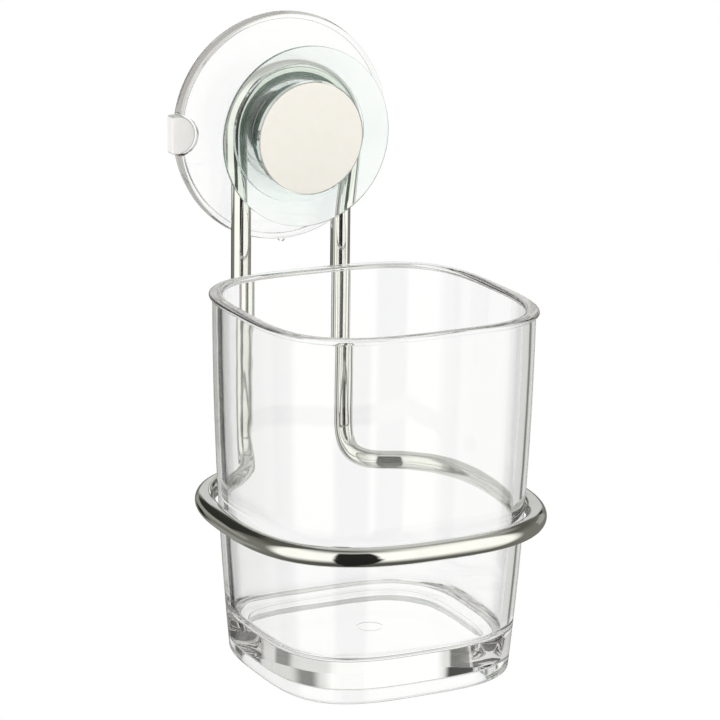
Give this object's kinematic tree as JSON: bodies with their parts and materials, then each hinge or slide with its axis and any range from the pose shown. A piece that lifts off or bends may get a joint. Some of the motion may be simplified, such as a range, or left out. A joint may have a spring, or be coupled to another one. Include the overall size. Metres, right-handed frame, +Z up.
{
  "type": "toothbrush tumbler and suction ring holder",
  "caption": "Clear rounded-square tumbler hanging in a chromed wire ring, whose uprights are clamped by a turned knob to a screw-down suction mount on a wall.",
  "frame": {"origin": "centre of the suction pad's wall side, in the plane of the wall", "axes": "+X to the right seen from the front, +Y into the wall along the stem, +Z up"},
  "size_m": [0.083, 0.0974, 0.1583],
  "materials": {
    "soft_clear": "soft, translucent",
    "plated_steel": "plated",
    "clear_rigid": "clear, polished",
    "chrome": "polished",
    "natural_nylon": "natural",
    "clear_aqua": "clear tint, polished",
    "off_white": "satin",
    "clear_cup": "clear, polished"
  },
  "bodies": {
    "wall_mount": {"suction_pad": "soft_clear", "stud": "plated_steel", "cover_dish": "clear_rigid"},
    "frame": {"wire_frame": "chrome"},
    "washer": {"thrust_washer": "natural_nylon"},
    "knob": {"knob": "clear_aqua", "threaded_insert": "plated_steel", "knob_cap": "off_white"},
    "tumbler": {"tumbler": "clear_cup"}
  },
  "joints": [
    {"name": "frame_swivel", "type": "hinge", "parent": "wall_mount", "child": "frame", "pos_m": [0, -0.0088, 0], "axis": [0, 1, 0], "continuous": true},
    {"name": "tumbler_lift", "type": "slide", "parent": "frame", "child": "tumbler", "axis": [0, -0.0958, 0.9954], "range_m": [0, 0.1]},
    {"name": "knob_advance", "type": "slide", "parent": "wall_mount", "child": "washer", "axis": [0, -1, 0], "range_m": [0, 0.0019]},
    {"name": "knob_turn", "type": "hinge", "parent": "washer", "child": "knob", "pos_m": [0, -0.018, 0], "axis": [0, -1, 0], "range_deg": [0, 540]}
  ],
  "couplings": [
    {"joint": "knob_advance", "follows": "knob_turn", "m_per_rad": 0.00019894}
  ]
}
